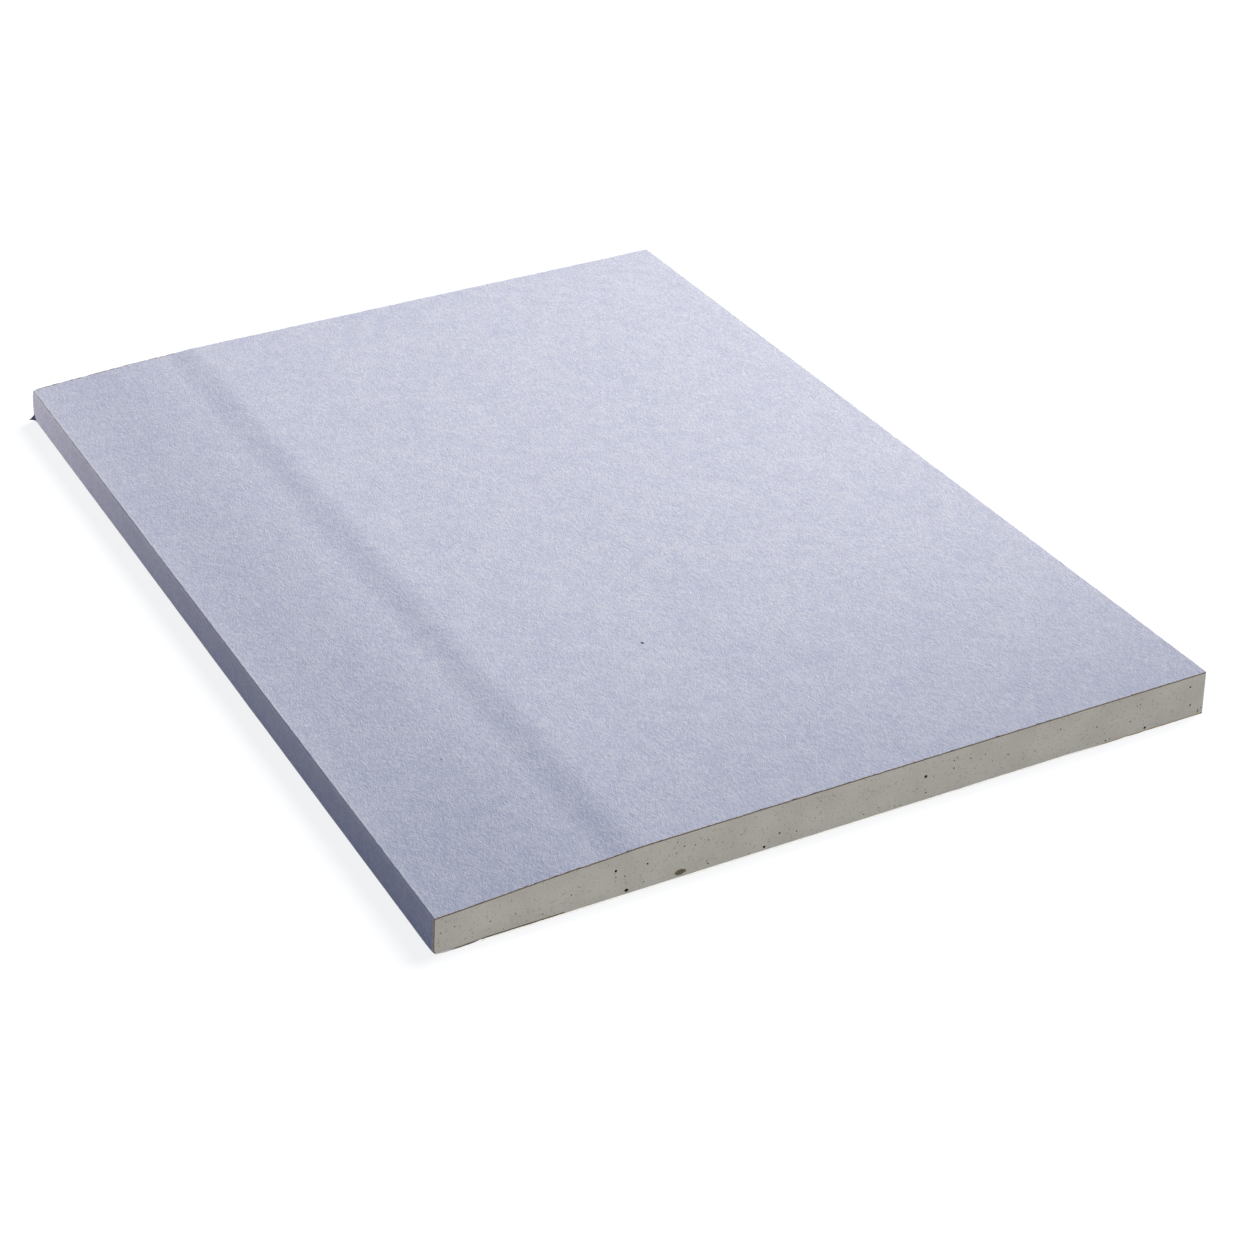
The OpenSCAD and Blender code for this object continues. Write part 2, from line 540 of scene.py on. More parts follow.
# Unevenness of the cuts between the pores, and how clear its points keep
CUT_UNEVEN = 0.02
CUT_UNEVEN_LENGTH = 7
CUT_JITTER = 0.4
CUT_CLEAR_OUTLINE = 0.5
CUT_CLEAR_PORE = 0.3
CUT_MERGE = 1e-5
# The gypsum needs only every second point of the paper's line
WRAP_SKIP = 2

# Pores that stand out on the front cut: mm from the tapered edge, mm up, radius
FRONT_PORES = (
    (46.5, 7.7, 0.36), (49.1, 1.3, 0.50), (86.1, 1.3, 0.40), (131.3, 7.1, 0.46), (197.0, 1.1, 0.40),
    (54.8, 7.0, 0.28), (90.3, 3.9, 0.27), (184.9, 0.9, 0.25), (210.4, 9.2, 0.27), (210.9, 3.7, 0.26),
    (67.5, 8.1, 0.20), (71.0, 8.4, 0.18), (70.8, 1.6, 0.22), (95.0, 3.0, 0.21), (131.5, 2.3, 0.25),
    (139.4, 9.2, 0.20), (139.4, 7.0, 0.22), (140.2, 9.9, 0.18), (113.8, 1.7, 0.20), (118.0, 2.2, 0.18),
    (155.3, 6.1, 0.20), (170.7, 8.7, 0.18), (186.2, 1.0, 0.18), (194.0, 8.5, 0.18), (34.9, 4.9, 0.20),
)
# Painted shadow of the chip at the lower corner of that cut: a dark crescent and a nick, in the same units
FRONT_CHIP_SHADOW = ((213.55, 1.62, 0.17), (213.40, 1.20, 0.22), (213.55, 0.78, 0.17), (214.45, 1.90, 0.20))
# Brown oval hollow on the same cut
FRONT_OVAL = Pore(63.4, 1.7, 1.5, 0.8, 0.28, 1.0)


def random_pores(count, width, bottom, top_at, rng, taken):
    """Small pores scattered over a cut, clear of each other and of its outline."""
    pores = list(taken)
    while len(pores) < len(taken) + count:
        radius = PORE_LEAST + PORE_SPREAD * rng.random() ** PORE_RARITY
        across = rng.uniform(PORE_CLEAR_SIDE, width - PORE_CLEAR_SIDE)
        up = rng.uniform(bottom + PORE_CLEAR_BACK, float(top_at(across)) - PORE_CLEAR_FACE)
        clear = radius + PORE_GAP
        if any(math.hypot(p.across - across, p.up - up) < clear + p.half_width for p in pores):
            continue
        half_height = radius * rng.uniform(*PORE_SQUASH)
        pores.append(Pore(across, up, radius, half_height, radius * PORE_DEPTH, 0.0))
    return pores


class Core:
    """Points, faces and values of the gypsum as they are added."""

    def __init__(self):
        self.points = []
        self.pit_shade = []
        self.stain = []
        self.faces = []

    def add(self, places, pit_shade=0.0, stain=0.0):
        """Adds points and returns their numbers."""
        first = len(self.points)
        self.points.extend(places)
        self.pit_shade.extend([pit_shade] * len(places))
        self.stain.extend([stain] * len(places))
        return list(range(first, len(self.points)))


def inside_outline(points, outline):
    """True for each point that lies inside a closed outline."""
    inside = np.zeros(len(points), bool)
    for a, b in zip(outline, np.roll(outline, -1, axis=0)):
        crosses = (a[1] > points[:, 1]) != (b[1] > points[:, 1])
        rise = b[1] - a[1] if b[1] != a[1] else 1.0
        reach = a[0] + (points[:, 1] - a[1]) / rise * (b[0] - a[0])
        inside ^= crosses & (points[:, 0] < reach)
    return inside


def scatter_points(outline, pores, rng):
    """Loose points inside a cut, clear of its outline and pores, which carry its slight unevenness."""
    low_corner, high_corner = outline.min(0), outline.max(0)
    across = np.arange(low_corner[0], high_corner[0], CUT_STEP)
    up = np.arange(low_corner[1], high_corner[1], CUT_STEP)
    grid = np.stack(np.meshgrid(across, up), 2).reshape(-1, 2)
    grid = grid + rng.uniform(-CUT_JITTER, CUT_JITTER, grid.shape) * CUT_STEP
    keep = inside_outline(grid, outline)
    keep &= (np.abs(grid[:, None] - outline[None]).max(2) > CUT_CLEAR_OUTLINE).all(1)
    for pore in pores:
        reach = max(pore.half_width, pore.half_height) + CUT_CLEAR_PORE
        keep &= np.hypot(grid[:, 0] - pore.across, grid[:, 1] - pore.up) > reach
    return grid[keep]


def pore_rim(pore, rng):
    """Points round the mouth of a pore."""
    girth = 2 * math.pi * max(pore.half_width, pore.half_height)
    sides = max(RIM_LEAST_SIDES, round(girth / RIM_STEP))
    angle = np.arange(sides) * 2 * math.pi / sides
    swell = 1 + RIM_UNEVEN * rng.uniform(-1, 1, sides)
    return np.stack([
        pore.across + pore.half_width * swell * np.cos(angle),
        pore.up + pore.half_height * swell * np.sin(angle),
    ], 1)


def pore_bowl(core, pore, rim, rim_numbers, place, rng):
    """Bowl of a pore below its rim: rings that narrow towards the bottom."""
    middle = np.array([pore.across, pore.up])
    # Pores without a stain get painted shade in their bowls
    pit_shade = 0.0 if pore.stain else 1.0
    previous = rim_numbers
    for ring in range(1, PORE_RINGS + 1):
        turn = ring / (PORE_RINGS + 1) * math.pi / 2
        ring_points = middle + (rim - middle) * math.cos(turn)
        sink = pore.depth * math.sin(turn) * rng.uniform(*BOWL_SINK, len(rim))
        places = [place(p[0], p[1], d) for p, d in zip(ring_points, sink)]
        numbers = core.add(places, pit_shade, pore.stain)
        for i in range(len(rim)):
            j = (i + 1) % len(rim)
            core.faces.append((previous[i], previous[j], numbers[j], numbers[i]))
        previous = numbers
    bottom = core.add([place(*middle, pore.depth)], pit_shade, pore.stain)[0]
    for i in range(len(rim)):
        core.faces.append((previous[i], previous[(i + 1) % len(rim)], bottom))


def cut_face(core, outline, outline_numbers, pores, place, rng):
    """Triangles of one cut through the gypsum, between its outline and its pores, and the pores' bowls."""
    outline = np.asarray(outline, float)
    loose = scatter_points(outline, pores, rng)
    rims = [pore_rim(pore, rng) for pore in pores]
    unevenness = CUT_UNEVEN * waves(loose[:, 0], loose[:, 1], CUT_UNEVEN_LENGTH, rng)
    numbers = list(outline_numbers)
    numbers += core.add([place(p[0], p[1], d) for p, d in zip(loose, unevenness)])
    rim_numbers = [core.add([place(p[0], p[1], 0) for p in rim]) for rim in rims]
    numbers += [i for group in rim_numbers for i in group]
    flat = np.concatenate([outline, loose, *rims])
    edges = [(i, (i + 1) % len(outline)) for i in range(len(outline))]
    start = len(outline) + len(loose)
    for rim in rims:
        edges += [(start + i, start + (i + 1) % len(rim)) for i in range(len(rim))]
        start += len(rim)
    vectors = [Vector(p) for p in flat]
    _, _, triangles, origins, _, _ = delaunay_2d_cdt(vectors, edges, [], 0, CUT_MERGE)
    source = [origin[0] for origin in origins]
    corners = np.array([[source[i] for i in t] for t in triangles])
    middles = flat[corners].mean(1)
    keep = inside_outline(middles, outline)
    for rim in rims:
        keep &= ~inside_outline(middles, rim)
    core.faces += [tuple(numbers[i] for i in t) for t in corners[keep]]
    for pore, rim, group in zip(pores, rims, rim_numbers):
        pore_bowl(core, pore, rim, group, place, rng)


def core_outline():
    """Outline of the gypsum in the section, and the number of its point where the cut edge starts.

    It runs from the top of the cut edge over the face, round the taper and along the back.
    """
    line, inward = wrap_line()
    under_paper = line + inward * FACE_PAPER_T
    wrap = under_paper[::WRAP_SKIP]
    if not np.allclose(wrap[-1], under_paper[-1]):
        wrap = np.concatenate([wrap, under_paper[-1:]])
    bottom = np.append(steps_between(FLAP_W, BOARD_W, CUT_STEP), BOARD_W)
    bottom = np.stack([bottom, np.full(len(bottom), BACK_PAPER_T)], 1)
    rise = steps_between(BACK_PAPER_T, BOARD_T - FACE_PAPER_T, SIDE_STEP)[1:]
    side = np.stack([np.full(len(rise), BOARD_W), rise], 1)
    return np.concatenate([wrap, bottom, side]), len(wrap) + len(bottom) - 1


def gypsum_core(material):
    """Core with three open cuts: front, far end and the long cut edge. The papers cover its other sides."""
    rng = np.random.default_rng(SEED + 2)
    core = Core()
    half_w, half_l = BOARD_W / 2, BOARD_L / 2
    outline, side_start = core_outline()
    front = core.add([(u - half_w, -half_l, v) for u, v in outline])
    back = core.add([(u - half_w, half_l, v) for u, v in outline])
    along = steps_between(-half_l, half_l, CUT_STEP)[1:]
    top_z = BOARD_T - FACE_PAPER_T
    top_line = core.add([(half_w, y, top_z) for y in along])
    bottom_line = core.add([(half_w, y, BACK_PAPER_T) for y in along])

    for i in range(1, side_start - 1):
        core.faces.append((front[i], front[i + 1], back[i + 1], back[i]))
    core.faces.append((front[0], front[1], back[1], back[0], *top_line[::-1]))
    front_end = (front[side_start - 1], front[side_start])
    back_end = (back[side_start], back[side_start - 1])
    core.faces.append((*front_end, *bottom_line, *back_end))

    def core_top(from_edge):
        return face_z(from_edge) - FACE_PAPER_T

    def level_top(_):
        return top_z

    def on_front(across, up, depth):
        return (across - half_w, depth - half_l, up)

    def on_far_end(across, up, depth):
        return (across - half_w, half_l - depth, up)

    def on_side(across, up, depth):
        return (half_w - depth, across - half_l, up)

    marked = [Pore(u, v, r, r, r * MARKED_PORE_DEPTH, 0.0) for u, v, r in FRONT_PORES + FRONT_CHIP_SHADOW]
    marked.append(FRONT_OVAL)
    front_pores = random_pores(FRONT_PORE_COUNT, BOARD_W, BACK_PAPER_T, core_top, rng, marked)
    far_pores = random_pores(FAR_PORE_COUNT, BOARD_W, BACK_PAPER_T, core_top, rng, [])
    side_pores = random_pores(SIDE_PORE_COUNT, BOARD_L, BACK_PAPER_T, level_top, rng, [])

    cut_face(core, outline, front, front_pores, on_front, rng)
    cut_face(core, outline, back, far_pores, on_far_end, rng)
    front_side = front[side_start:] + [front[0]]
    back_side = back[side_start:] + [back[0]]
    side_numbers = front_side + top_line + back_side[::-1] + bottom_line[::-1]
    side_outline = [(core.points[i][1] + half_l, core.points[i][2]) for i in side_numbers]
    cut_face(core, side_outline, side_numbers, side_pores, on_side, rng)

    values = {"pit_shade": core.pit_shade, "stain": core.stain}
    piece = make_piece("gypsum_core_cut", core.points, core.faces, material, values)
    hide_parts("gypsum_core")
    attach(piece, "root")
    return piece


# Short ways to add shader nodes

def node(tree, kind, inputs, **settings):
    """Adds a node, sets it and its inputs, and joins the inputs that are given as sockets."""
    made = tree.nodes.new(kind)
    for name, value in settings.items():
        setattr(made, name, value)
    for name, value in inputs.items():
        if isinstance(value, bpy.types.NodeSocket):
            tree.links.new(value, made.inputs[name])
        else:
            made.inputs[name].default_value = value
    return made


def maths(tree, operation, first, second=0.0):
    """Result of a sum on one or two numbers."""
    return node(tree, "ShaderNodeMath", {0: first, 1: second}, operation=operation).outputs[0]


def weighted(tree, *parts):
    """Sum of values, each with its weight."""
    total = 0.0
    for value, weight in parts:
        total = maths(tree, "ADD", maths(tree, "MULTIPLY", value, weight), total)
    return total


def fade(tree, value, start, end, first=0.0, last=1.0):
    """Smooth change from the first to the last number as a value goes from start to end."""
    inputs = {"Value": value, "From Min": start, "From Max": end, "To Min": first, "To Max": last}
    return node(tree, "ShaderNodeMapRange", inputs, interpolation_type="SMOOTHSTEP").outputs[0]


def blend(tree, share, first, second):
    """Mix of two colours."""
    made = node(tree, "ShaderNodeMix", {0: share, 6: first, 7: second}, data_type="RGBA")
    return made.outputs[2]


def noise(tree, place, scale, detail=2.0, roughness=0.5):
    """Even noise about 0.5, with features of about 1 / scale."""
    inputs = {"Vector": place, "Scale": scale, "Detail": detail, "Roughness": roughness}
    return node(tree, "ShaderNodeTexNoise", inputs).outputs["Fac"]


def new_material(name):
    """Empty material and its tree, with an output and a matt shader."""
    material = bpy.data.materials.new(name)
    material.use_nodes = True
    tree = material.node_tree
    tree.nodes.clear()
    shader = node(tree, "ShaderNodeBsdfPrincipled", {})
    node(tree, "ShaderNodeOutputMaterial", {"Surface": shader.outputs[0]})
    return material, tree, shader


def vector_maths(tree, operation, inputs):
    """Result of a sum on vectors."""
    return node(tree, "ShaderNodeVectorMath", inputs, operation=operation).outputs[0]


def attribute(tree, name, output="Fac"):
    """Named value of the mesh."""
    return node(tree, "ShaderNodeAttribute", {}, attribute_name=name).outputs[output]


def flat_place(tree):
    """Place on an unrolled sheet, in mm, and the depth in its thickness."""
    parts = node(tree, "ShaderNodeSeparateXYZ", {0: attribute(tree, "sheet", "Vector")})
    joined = node(tree, "ShaderNodeCombineXYZ", {0: parts.outputs[0], 1: parts.outputs[1]})
    return joined.outputs[0], parts.outputs[2]


def set_finish(tree, shader, colour, roughness, specular):
    """Joins a colour to a matt shader and sets how rough and how shiny it is."""
    tree.links.new(colour, shader.inputs["Base Color"])
    shader.inputs["Roughness"].default_value = roughness
    shader.inputs["Specular IOR Level"].default_value = specular


def set_relief(tree, shader, height, distance):
    """Gives a shader fine relief, with the distance in metres that a height of 1 stands for."""
    bump = node(tree, "ShaderNodeBump", {"Strength": 1.0, "Distance": distance, "Height": height})
    tree.links.new(bump.outputs[0], shader.inputs["Normal"])


# Fibres of the papers

FIBRE_DETAIL = 1.5
FIBRE_ROUGHNESS = 0.6
# Lean of each layer of the felt in degrees, and how far apart in mm the layers' patterns start
FELT_LEANS = (-38, -14, 9, 31)
FELT_SHIFT = 37.0
# Bends of the fibres: bends per mm, their detail and how far they reach in mm
BEND_SCALE = 0.25
BEND_DETAIL = 1.0
BEND_REACH = 1.6
CENTRE = (0.5, 0.5, 0.5)


def fibre_layer(tree, place, lean, size, shift):
    """Streaks of a fibre's length and width that lean from the board's length by an angle in degrees."""
    length, width = size
    inputs = {
        "Vector": place,
        "Location": (shift, 2 * shift, 0),
        "Rotation": (0, 0, math.radians(lean)),
        "Scale": (width, length, 1),
    }
    turned = node(tree, "ShaderNodeMapping", inputs, vector_type="TEXTURE").outputs[0]
    return noise(tree, turned, 1.0, FIBRE_DETAIL, FIBRE_ROUGHNESS)


def fibres(tree, place, size):
    """Felt of fibres: several layers of streaks that lean either way."""
    total = 0.0
    for layer, lean in enumerate(FELT_LEANS):
        streaks = fibre_layer(tree, place, lean, size, FELT_SHIFT * (layer + 1))
        total = maths(tree, "ADD", streaks, total)
    return maths(tree, "MULTIPLY", total, 1 / len(FELT_LEANS))


def bent_place(tree, place):
    """Place moved about a little, so that straight streaks bend."""
    inputs = {"Vector": place, "Scale": BEND_SCALE, "Detail": BEND_DETAIL}
    moved = node(tree, "ShaderNodeTexNoise", inputs).outputs["Color"]
    centred = vector_maths(tree, "SUBTRACT", {0: moved, 1: CENTRE})
    scaled = vector_maths(tree, "SCALE", {0: centred, "Scale": BEND_REACH})
    return vector_maths(tree, "ADD", {0: place, 1: scaled})


# Look of the face paper: scales in features per mm, fibres by length and width in mm, relief in m

FACE_FELT = (1.9, 0.40)
FACE_TUFTS = 0.80
FACE_MOTTLE = 0.20
FACE_CLOUDS = 0.045
CLOUD_DETAIL = 3.0
FACE_TONE_WEIGHTS = (2.8, 0.4, 0.55, 0.3)
FACE_TONE_FADE = (1.71, 2.36)
FACE_HEIGHT_WEIGHTS = (1.2, 0.25, 0.7)
FACE_RELIEF_DISTANCE = 0.000113
# Loose pale fibres: their size, the lean in degrees and the start of each layer, and where they show
LOOSE_FIBRE = (2.4, 0.34)
LOOSE_LAYERS = ((24, 211.0), (-31, 307.0), (77, 401.0))
LOOSE_FADE = (0.63, 0.75, 0.0, 0.7)
BLOTCHES = 0.22
BLOTCH_FADE = (0.66, 0.80, 0.0, 0.16)
WEAR_STRENGTH = 0.12
# Brown plies on the cut edges, which start unevenly
PLY_SCALE = 1.7
PLY_UNEVEN = 0.3
PLY_FADE = (0.20, 0.34)
# Specks on the face: mm from the tapered edge, mm from the front cut, radius, strength
FACE_SPECKS = ((95.4, 81.2, 0.48, 0.95), (27.6, 57.2, 0.40, 0.35))
SPECK_STRETCH = 1.6
SPECK_RIM = 0.6


def speck(tree, place, middle, radius):
    """1 inside a small oval speck on a sheet, longer along the board, and 0 outside."""
    inputs = {"Vector": place, "Location": middle, "Scale": (radius, radius * SPECK_STRETCH, 1)}
    local = node(tree, "ShaderNodeMapping", inputs, vector_type="TEXTURE").outputs[0]
    reach = node(tree, "ShaderNodeVectorMath", {0: local}, operation="LENGTH").outputs["Value"]
    return fade(tree, reach, SPECK_RIM, 1.0, 1.0, 0.0)


def sheet_place(from_edge, from_front):
    """Place on the unrolled face paper of a point on the face."""
    line, _ = wrap_line()
    run = run_along(line)
    on_face = line[:, 1] > BOARD_T / 2
    along = np.interp(-from_edge, -line[on_face, 0], run[on_face])
    return (float(along), from_front - BOARD_L / 2, 0.0)


def face_paper_material():
    """Pale blue-grey fibrous paper, worn tan on the edge, with brown plies on its cut edges."""
    material, tree, shader = new_material("face_paper")
    place, depth = flat_place(tree)
    bent = bent_place(tree, place)
    felt = fibres(tree, bent, FACE_FELT)
    tufts = noise(tree, bent, FACE_TUFTS)
    mottle = noise(tree, place, FACE_MOTTLE)
    clouds = noise(tree, place, FACE_CLOUDS, CLOUD_DETAIL)

    tone = weighted(tree, *zip((felt, tufts, mottle, clouds), FACE_TONE_WEIGHTS))
    colour = blend(tree, fade(tree, tone, *FACE_TONE_FADE), FACE_DEEP, FACE_PALE)
    for lean, shift in LOOSE_LAYERS:
        loose = fade(tree, fibre_layer(tree, bent, lean, LOOSE_FIBRE, shift), *LOOSE_FADE)
        colour = blend(tree, loose, colour, FIBRE_PALE)

    blotch = fade(tree, noise(tree, place, BLOTCHES), *BLOTCH_FADE)
    colour = blend(tree, blotch, colour, FACE_TAN)
    worn = maths(tree, "MULTIPLY", attribute(tree, "wear"), WEAR_STRENGTH)
    colour = blend(tree, worn, colour, FACE_TAN)
    # Pale arris line, partly rub and partly painted highlight where the arris gets little light
    colour = blend(tree, attribute(tree, "rub_and_highlight"), colour, RUB_AND_HIGHLIGHT_PALE)
    for from_edge, from_front, radius, strength in FACE_SPECKS:
        mark = speck(tree, place, sheet_place(from_edge, from_front), radius)
        colour = blend(tree, maths(tree, "MULTIPLY", mark, strength), colour, SPECK_DARK)
    uneven = maths(tree, "MULTIPLY", noise(tree, place, PLY_SCALE), PLY_UNEVEN)
    plies = maths(tree, "ADD", depth, uneven)
    ply = blend(tree, attribute(tree, "pale"), PLY_BROWN, PLY_PALE)
    colour = blend(tree, fade(tree, plies, *PLY_FADE), colour, ply)

    height = weighted(tree, *zip((felt, tufts, mottle), FACE_HEIGHT_WEIGHTS))
    set_relief(tree, shader, height, FACE_RELIEF_DISTANCE)
    set_finish(tree, shader, colour, roughness=0.75, specular=0.15)
    return material


# Look of the torn tag

TEAR_FELT = (1.2, 0.2)
TEAR_TONE_FADE = (0.4, 0.6)
# Share of painted shade over the tag
TEAR_SHADE_SHARE = 0.75


def tear_material():
    """Torn face paper, painted dark with the shade that it lies in."""
    material, tree, shader = new_material("face_paper_tear")
    place, _ = flat_place(tree)
    felt = fibres(tree, place, TEAR_FELT)
    colour = blend(tree, fade(tree, felt, *TEAR_TONE_FADE), TEAR_SHADE_DARK, FACE_DEEP)
    colour = blend(tree, TEAR_SHADE_SHARE, colour, TEAR_SHADE_DARK)
    set_finish(tree, shader, colour, roughness=0.85, specular=0.2)
    return material


# Look of the gypsum, in the same units

GRAIN = 2.2
GRAIN_DETAIL = 4.0
GRAIN_ROUGHNESS = 0.6
GYPSUM_CLOUDS = 0.11
GYPSUM_TONE_FADE = (0.75, 1.25)
GYPSUM_FLECKS = 1.5
GYPSUM_FLECK_FADE = (0.62, 0.76, 0.0, 0.34)
FLECK_DETAIL = 1.0
GYPSUM_RELIEF_DISTANCE = 0.00008


def gypsum_material():
    """Warm grey dry gypsum with fine specks, pores painted dark with the shade of their hollows, and a
    brown stain.
    """
    material, tree, shader = new_material("gypsum")
    metres = node(tree, "ShaderNodeTexCoord", {}).outputs["Object"]
    place = vector_maths(tree, "SCALE", {0: metres, "Scale": 1 / MM})
    grain = noise(tree, place, GRAIN, GRAIN_DETAIL, GRAIN_ROUGHNESS)
    clouds = noise(tree, place, GYPSUM_CLOUDS, CLOUD_DETAIL)
    tone = maths(tree, "ADD", grain, clouds)
    colour = blend(tree, fade(tree, tone, *GYPSUM_TONE_FADE), GYPSUM_DEEP, GYPSUM_PALE)
    flecks = fade(tree, noise(tree, place, GYPSUM_FLECKS, FLECK_DETAIL), *GYPSUM_FLECK_FADE)
    colour = blend(tree, flecks, colour, STAIN_BROWN)
    colour = blend(tree, attribute(tree, "stain"), colour, STAIN_BROWN)
    # Painted shade in the pores
    colour = blend(tree, attribute(tree, "pit_shade"), colour, PORE_SHADE_DARK)
    set_relief(tree, shader, grain, GYPSUM_RELIEF_DISTANCE)
    set_finish(tree, shader, colour, roughness=0.95, specular=0.2)
    return material


# Look of the back paper, in the same units

BACK_FELT = (2.8, 0.4)
BACK_CLOUDS = 0.06
BACK_TONE_WEIGHTS = (2.6, 1.0)
BACK_TONE_FADE = (1.35, 2.25)
BACK_FLECKS = 0.9
BACK_FLECK_FADE = (0.72, 0.78, 0.0, 0.5)
BACK_PLY_FADE = (0.0, 0.08)
BACK_RELIEF_DISTANCE = 0.00016


def back_paper_material():
    """Grey-brown uncoated paper with fibres and a few dark flecks."""
    material, tree, shader = new_material("back_paper")
    place, depth = flat_place(tree)
    felt = fibres(tree, bent_place(tree, place), BACK_FELT)
    clouds = noise(tree, place, BACK_CLOUDS, CLOUD_DETAIL)
    tone = weighted(tree, *zip((felt, clouds), BACK_TONE_WEIGHTS))
    colour = blend(tree, fade(tree, tone, *BACK_TONE_FADE), BACK_DEEP, BACK_PALE)
    flecks = fade(tree, noise(tree, place, BACK_FLECKS, FLECK_DETAIL), *BACK_FLECK_FADE)
    colour = blend(tree, flecks, colour, PLY_BROWN)
    ply = blend(tree, attribute(tree, "browned"), PLY_PALE, PLY_BROWN)
    colour = blend(tree, fade(tree, depth, *BACK_PLY_FADE), colour, ply)
    set_relief(tree, shader, felt, BACK_RELIEF_DISTANCE)
    set_finish(tree, shader, colour, roughness=0.85, specular=0.2)
    return material


# Floor, light and camera

FLOOR_HALF = 4.0
FLOOR_GAP = 0.00015
FLOOR_BOUNCE = (0.170, 0.153, 0.146, 1)
FLOOR_SHADOWED = (0.18, 0.18, 0.18, 1)
FLOOR_GLOW = 0.86
AMBIENT_COLOUR = (0.45, 0.92, 2.20, 1)
AMBIENT_LEVEL = 0.088
WHITE = (1, 1, 1, 1)

# Lamps: place by azimuth and elevation in degrees and distance in m, the point each faces, and sizes in m
MIDDLE = (0, 0, 0)
KEY_PLACE = (15, 18, 2.6)
KEY_TARGET = (0.149, 0.104, 0)
KEY_CONE = 18.4
KEY_SOFT = 0.1
KEY_POWER = 764
KEY_COLOUR = (1.0, 0.963, 0.85)
FILL_COLOUR = (1.0, 0.985, 0.92)
EDGE_FILL_PLACE = (135, 4, 0.35)
EDGE_FILL_TARGET = (-0.10, 0.05, 0)
EDGE_FILL_SIZE = {"shape": "RECTANGLE", "size": 0.12, "size_y": 0.03}
EDGE_FILL_POWER = 0.185
EDGE_FILL_COLOUR = (1.0, 0.92, 0.85)
SIDE_FILL_PLACE = (180, 12, 1.2)
SIDE_FILL_TARGET = (-0.1, 0, 0)
SIDE_FILL_SIZE = 0.6
SIDE_FILL_POWER = 0.75
CUT_KEY_PLACE = (48, 15, 2.0)
CUT_KEY_SIZE = 0.5
CUT_KEY_POWER = 22
CUT_FILL_PLACE = (-92, 3, 1.2)
CUT_FILL_SIZE = {"shape": "RECTANGLE", "size": 0.5, "size_y": 0.05}
CUT_FILL_POWER = 4.85
PLY_POWER = 6.0
FLOOR_LIGHT_PLACE = (17, 50, 2.0)
FLOOR_LIGHT_SPREAD = 30
FLOOR_POWER = 4.1


def seen_directly(tree):
    """1 where the camera, a reflection or a clear body looks, and 0 for light on the object."""
    path = node(tree, "ShaderNodeLightPath", {})
    seen = maths(tree, "MAXIMUM", path.outputs["Is Camera Ray"], path.outputs["Is Glossy Ray"])
    return maths(tree, "MAXIMUM", seen, path.outputs["Is Transmission Ray"])


def by_ray(tree, lighting, seen):
    """Shader that lights the object as the first one and is seen as the second."""
    inputs = {0: seen_directly(tree), 1: lighting.outputs[0], 2: seen.outputs[0]}
    return node(tree, "ShaderNodeMixShader", inputs)


def floor():
    """White floor that keeps the board's shadow."""
    corners = [(-1, -1), (1, -1), (1, 1), (-1, 1)]
    mesh = bpy.data.meshes.new("floor")
    points = [(x * FLOOR_HALF, y * FLOOR_HALF, -FLOOR_GAP) for x, y in corners]
    mesh.from_pydata(points, [], [(0, 1, 2, 3)])
    material = bpy.data.materials.new("floor")
    material.use_nodes = True
    tree = material.node_tree
    tree.nodes.clear()
    bounce = node(tree, "ShaderNodeBsdfDiffuse", {"Color": FLOOR_BOUNCE})
    shadowed = node(tree, "ShaderNodeBsdfDiffuse", {"Color": FLOOR_SHADOWED})
    glow = node(tree, "ShaderNodeEmission", {"Strength": FLOOR_GLOW})
    shown = node(tree, "ShaderNodeAddShader", {0: shadowed.outputs[0], 1: glow.outputs[0]})
    mixed = by_ray(tree, bounce, shown)
    node(tree, "ShaderNodeOutputMaterial", {"Surface": mixed.outputs[0]})
    mesh.materials.append(material)
    piece = bpy.data.objects.new("floor", mesh)
    bpy.context.scene.collection.objects.link(piece)
    return piece


def ambient():
    """Even light from all round, behind a white background."""
    world = bpy.data.worlds.new("studio")
    world.use_nodes = True
    tree = world.node_tree
    tree.nodes.clear()
    light = node(tree, "ShaderNodeBackground", {"Color": AMBIENT_COLOUR, "Strength": AMBIENT_LEVEL})
    white = node(tree, "ShaderNodeBackground", {"Color": WHITE, "Strength": 1.0})
    mixed = by_ray(tree, light, white)
    node(tree, "ShaderNodeOutputWorld", {"Surface": mixed.outputs[0]})
    bpy.context.scene.world = world


def lamp(name, kind, place, target, power, colour, receivers, **settings):
    """Lamp that faces a target and lights only its receivers.

    Its place is an azimuth and an elevation in degrees and a distance in metres from the middle of
    the board. Azimuth 0 is +X and 90 is +Y.
    """
    azimuth, elevation, distance = place
    turn, rise = math.radians(azimuth), math.radians(elevation)
    out = Vector((math.cos(rise) * math.cos(turn), math.cos(rise) * math.sin(turn), math.sin(rise)))
    data = bpy.data.lights.new(name, kind)
    data.energy = power
    data.color = colour
    for setting, value in settings.items():
        setattr(data, setting, value)
    made = bpy.data.objects.new(name, data)
    made.location = out * distance
    made.rotation_mode = "QUATERNION"
    made.rotation_quaternion = (Vector(target) - made.location).to_track_quat("-Z", "Y")
    bpy.context.scene.collection.objects.link(made)
    group = bpy.data.collections.new(name + "_receivers")
    for piece in receivers:
        group.objects.link(piece)
    made.light_linking.receiver_collection = group


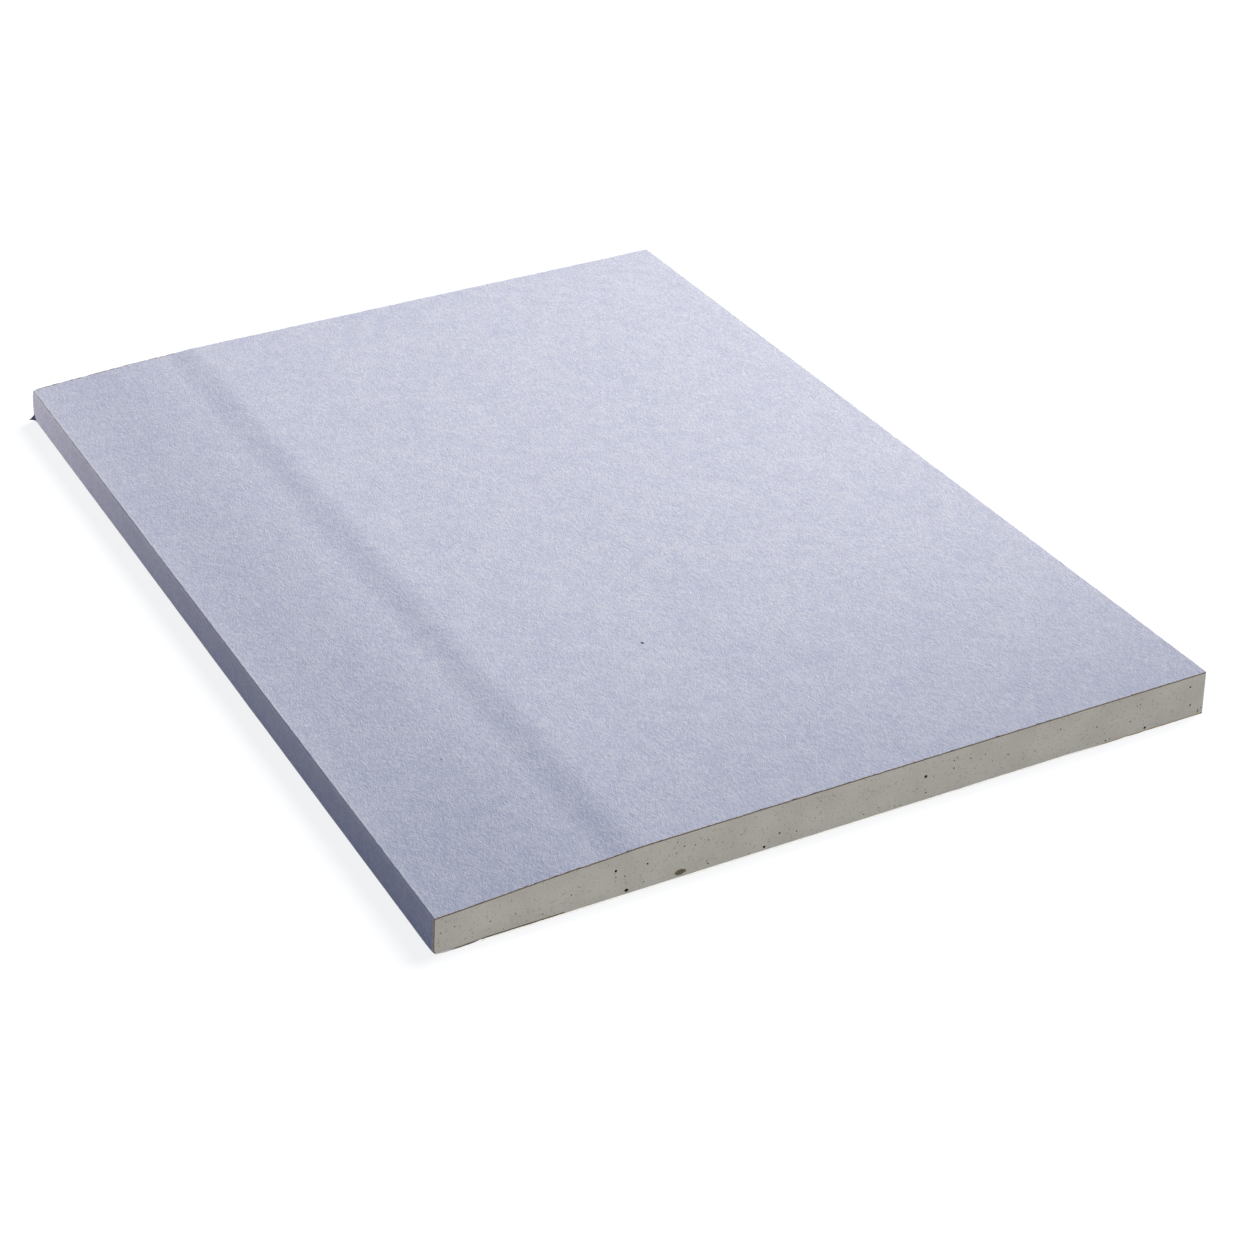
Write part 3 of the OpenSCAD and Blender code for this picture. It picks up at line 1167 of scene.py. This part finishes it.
def lights(face_sheet, face_tear, back_sheet, core, ground):
    """Raking key light over the paper, softer lights on the cuts, and an even light on the floor."""
    papers = [face_sheet, face_tear, back_sheet]
    lamp("key", "SPOT", KEY_PLACE, KEY_TARGET, KEY_POWER, KEY_COLOUR, papers,
         spot_size=math.radians(KEY_CONE), spot_blend=1.0, shadow_soft_size=KEY_SOFT)
    lamp("edge_fill", "AREA", EDGE_FILL_PLACE, EDGE_FILL_TARGET, EDGE_FILL_POWER, EDGE_FILL_COLOUR, papers,
         **EDGE_FILL_SIZE)
    lamp("side_fill", "AREA", SIDE_FILL_PLACE, SIDE_FILL_TARGET, SIDE_FILL_POWER, FILL_COLOUR, papers,
         size=SIDE_FILL_SIZE)
    lamp("cut_key", "AREA", CUT_KEY_PLACE, MIDDLE, CUT_KEY_POWER, FILL_COLOUR, [core], size=CUT_KEY_SIZE)
    lamp("cut_fill", "AREA", CUT_FILL_PLACE, MIDDLE, CUT_FILL_POWER, FILL_COLOUR, papers + [core],
         **CUT_FILL_SIZE)
    lamp("ply_light", "AREA", CUT_FILL_PLACE, MIDDLE, PLY_POWER, FILL_COLOUR, [back_sheet],
         **CUT_FILL_SIZE)
    lamp("floor_light", "SUN", FLOOR_LIGHT_PLACE, MIDDLE, FLOOR_POWER, WHITE[:3], [ground],
         angle=math.radians(FLOOR_LIGHT_SPREAD))


def camera():
    """Camera at the photo's place and angle."""
    azimuth = math.radians(CAMERA_AZIMUTH)
    elevation = math.radians(CAMERA_ELEVATION)
    roll = math.radians(CAMERA_ROLL)
    back = Vector((
        math.sin(azimuth) * math.cos(elevation),
        -math.cos(azimuth) * math.cos(elevation),
        math.sin(elevation),
    ))
    level = (-back).cross(Vector((0, 0, 1))).normalized()
    down = (-back).cross(level)
    right = math.cos(roll) * level + math.sin(roll) * down
    up = math.sin(roll) * level - math.cos(roll) * down
    data = bpy.data.cameras.new("camera")
    data.lens = CAMERA_LENS
    data.sensor_width = CAMERA_SENSOR
    data.sensor_fit = "HORIZONTAL"
    data.clip_start = CAMERA_CLIP
    made = bpy.data.objects.new("camera", data)
    turned = Matrix((right, up, back)).transposed().to_4x4()
    made.matrix_world = Matrix.Translation(CAMERA_PLACE) @ turned
    bpy.context.scene.collection.objects.link(made)
    bpy.context.scene.camera = made


face_sheet = face_paper(face_paper_material())
face_tear = torn_tag(tear_material())
back_sheet = back_paper(back_paper_material())
core = gypsum_core(gypsum_material())
ground = floor()
ambient()
lights(face_sheet, face_tear, back_sheet, core, ground)
camera()
bpy.context.scene.view_settings.view_transform = "Standard"
